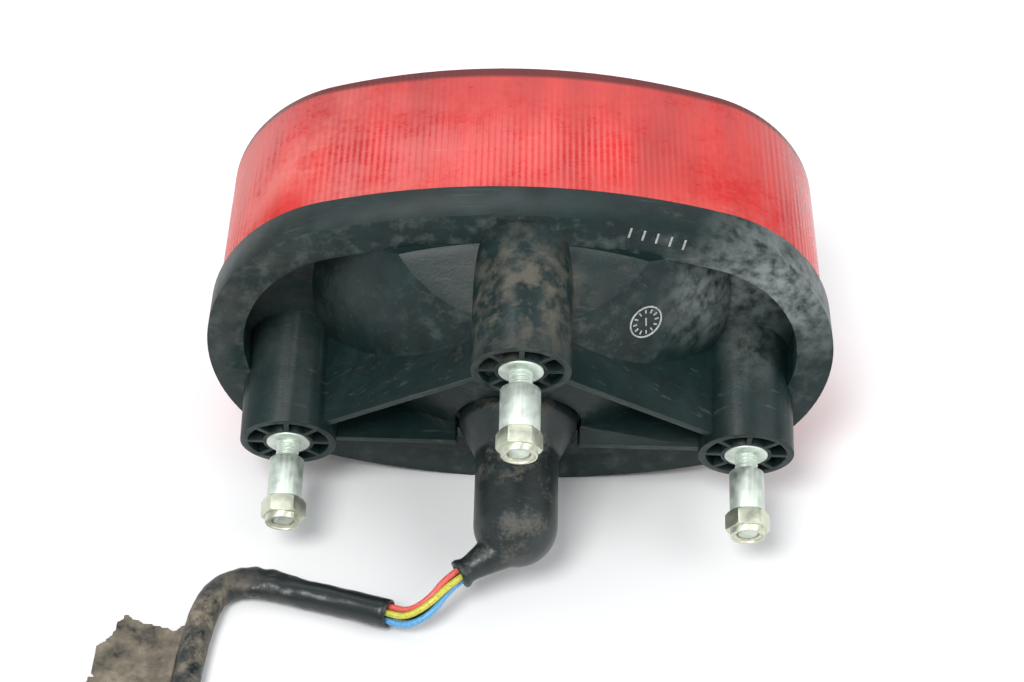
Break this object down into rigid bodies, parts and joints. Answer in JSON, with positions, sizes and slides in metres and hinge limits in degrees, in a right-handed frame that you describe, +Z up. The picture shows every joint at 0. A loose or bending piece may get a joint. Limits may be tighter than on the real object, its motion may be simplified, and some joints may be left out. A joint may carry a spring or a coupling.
{
  "type": "motorcycle tail light",
  "caption": "Wide oval red tail and brake light with black housing, three M6 mounting studs, rubber-booted connector and a short harness.",
  "frame": {"origin": "middle of the flange's lowest edge, on its back face; the light stands on this edge", "axes": "+X to the light's right seen from behind the lens, +Y backwards out of the mounting side, +Z up; the lens faces -Y"},
  "size_m": [0.189, 0.2444, 0.091],
  "materials": {
    "housing_plastic": "matt, fine grain",
    "lens_red": "gloss, tinted, dusty",
    "seal_rubber": "matt",
    "boot_rubber": "satin, dusty",
    "zinc_steel": "zinc plated",
    "nut_steel": "yellow passivated zinc",
    "lock_nylon": "matt",
    "brass": "satin",
    "reflector_silver": "vacuum metallised",
    "socket_steel": "zinc plated",
    "insulator": "phenolic board",
    "spring_steel": "bright",
    "cap_brass": "nickel-flashed",
    "bulb_glass": "clear",
    "filament_metal": "drawn wire",
    "lead_black": "soft vinyl",
    "plug_plastic": "nylon",
    "wire_red": "soft vinyl",
    "wire_yellow": "soft vinyl",
    "wire_black": "soft vinyl",
    "wire_blue": "soft vinyl",
    "sleeve_vinyl": "soft vinyl, muddy",
    "tape": "muddy"
  },
  "bodies": {
    "light": {"housing": "housing_plastic", "lens": "lens_red", "lens_gasket": "seal_rubber", "lens_screws": "zinc_steel", "reflector": "reflector_silver", "connector_pins": "brass", "tail_strip": "brass", "ground_strip": "brass", "brake_strip": "brass", "plug_body": "plug_plastic", "plug_terminals": "brass", "boot": "boot_rubber", "wire_red": "wire_red", "wire_yellow": "wire_yellow", "wire_black": "wire_black", "wire_blue": "wire_blue", "harness_sleeve": "sleeve_vinyl", "harness_coil": "sleeve_vinyl", "harness_tail": "sleeve_vinyl", "harness_plug": "plug_plastic", "harness_plug_contacts": "brass", "tape_flap": "tape", "stud_left": "zinc_steel", "stud_centre": "zinc_steel", "stud_right": "zinc_steel", "bulb_holder_left": "socket_steel", "socket_insulator_left": "insulator", "contact_spring_left": "spring_steel", "bulb_leads_left": "lead_black", "bulb_holder_right": "socket_steel", "socket_insulator_right": "insulator", "contact_spring_right": "spring_steel", "bulb_leads_right": "lead_black"},
    "spacer_left": {"spacer_left": "zinc_steel"},
    "nut_left": {"nut_left": "nut_steel", "nut_lock_ring_left": "lock_nylon"},
    "spacer_centre": {"spacer_centre": "zinc_steel"},
    "nut_centre": {"nut_centre": "nut_steel", "nut_lock_ring_centre": "lock_nylon"},
    "spacer_right": {"spacer_right": "zinc_steel"},
    "nut_right": {"nut_right": "nut_steel", "nut_lock_ring_right": "lock_nylon"},
    "plunger_left": {"contact_plunger_left": "insulator"},
    "bulb_left": {"bulb_cap_left": "cap_brass", "bulb_glass_left": "bulb_glass", "filament_left": "filament_metal"},
    "plunger_right": {"contact_plunger_right": "insulator"},
    "bulb_right": {"bulb_cap_right": "cap_brass", "bulb_glass_right": "bulb_glass", "filament_right": "filament_metal"}
  },
  "joints": [
    {"name": "spacer_left_slide", "type": "slide", "parent": "light", "child": "spacer_left", "axis": [0, 0.9397, -0.342], "range_m": [-0.0048, 0]},
    {"name": "nut_left_slide", "type": "slide", "parent": "light", "child": "nut_left", "axis": [0, 0.9397, -0.342], "range_m": [0, 0.03]},
    {"name": "spacer_centre_slide", "type": "slide", "parent": "light", "child": "spacer_centre", "axis": [0, 0.9397, -0.342], "range_m": [-0.0048, 0]},
    {"name": "nut_centre_slide", "type": "slide", "parent": "light", "child": "nut_centre", "axis": [0, 0.9397, -0.342], "range_m": [0, 0.03]},
    {"name": "spacer_right_slide", "type": "slide", "parent": "light", "child": "spacer_right", "axis": [0, 0.9397, -0.342], "range_m": [-0.0048, 0]},
    {"name": "nut_right_slide", "type": "slide", "parent": "light", "child": "nut_right", "axis": [0, 0.9397, -0.342], "range_m": [0, 0.0118]},
    {"name": "plunger_left_press", "type": "slide", "parent": "light", "child": "plunger_left", "axis": [0, 0, 1], "range_m": [-0.002, 0], "stiffness_N_per_m": 2000, "springref_m": 0.001, "deforming": ["contact_spring_left"]},
    {"name": "bulb_left_turn", "type": "hinge", "parent": "plunger_left", "child": "bulb_left", "pos_m": [-0.034, -0.036, 0.03], "axis": [0, 0, 1], "range_deg": [-20, 0]},
    {"name": "plunger_right_press", "type": "slide", "parent": "light", "child": "plunger_right", "axis": [0, 0, 1], "range_m": [-0.002, 0], "stiffness_N_per_m": 2000, "springref_m": 0.001, "deforming": ["contact_spring_right"]},
    {"name": "bulb_right_turn", "type": "hinge", "parent": "plunger_right", "child": "bulb_right", "pos_m": [0.034, -0.036, 0.03], "axis": [0, 0, 1], "range_deg": [-20, 0]}
  ]
}
